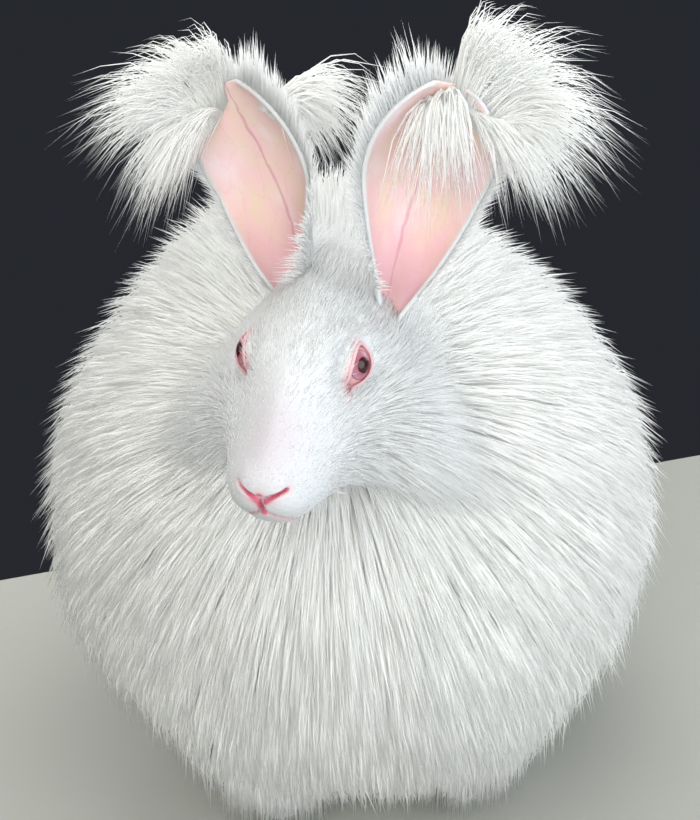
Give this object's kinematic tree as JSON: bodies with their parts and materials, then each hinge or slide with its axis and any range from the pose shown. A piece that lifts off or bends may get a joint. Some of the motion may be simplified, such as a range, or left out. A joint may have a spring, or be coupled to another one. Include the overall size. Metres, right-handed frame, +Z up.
{
  "type": "angora rabbit",
  "caption": "Sitting long-haired angora rabbit at life size, a round ball of wool with its head turned, upright ears with woolly tassels, pink eyes and hidden feet.",
  "frame": {"origin": "the middle of the whole box at the floor that the rabbit sits on", "axes": "+Z up, -Y towards the front of the body, +X towards the rabbit's left side"},
  "size_m": [0.2932, 0.3692, 0.401],
  "materials": {
    "wool": "long, loose white wool in soft tapered locks",
    "short_fur": "short, flat white fur with pale pink skin at the nose and lids",
    "ear_skin": "thin pink skin inside the cup, short white fur on the back and long white wool at the tip",
    "eye": "wet, glossy pink iris round a dark red pupil"
  },
  "bodies": {
    "root": {"head": "short_fur", "neck": "wool", "torso": "wool", "tail": "wool", "foreleg_left": "wool", "foreleg_right": "wool", "hindleg_left": "wool", "hindleg_right": "wool", "ear_left": "ear_skin", "ear_right": "ear_skin", "eye_left": "eye", "eye_right": "eye"}
  },
  "joints": []
}
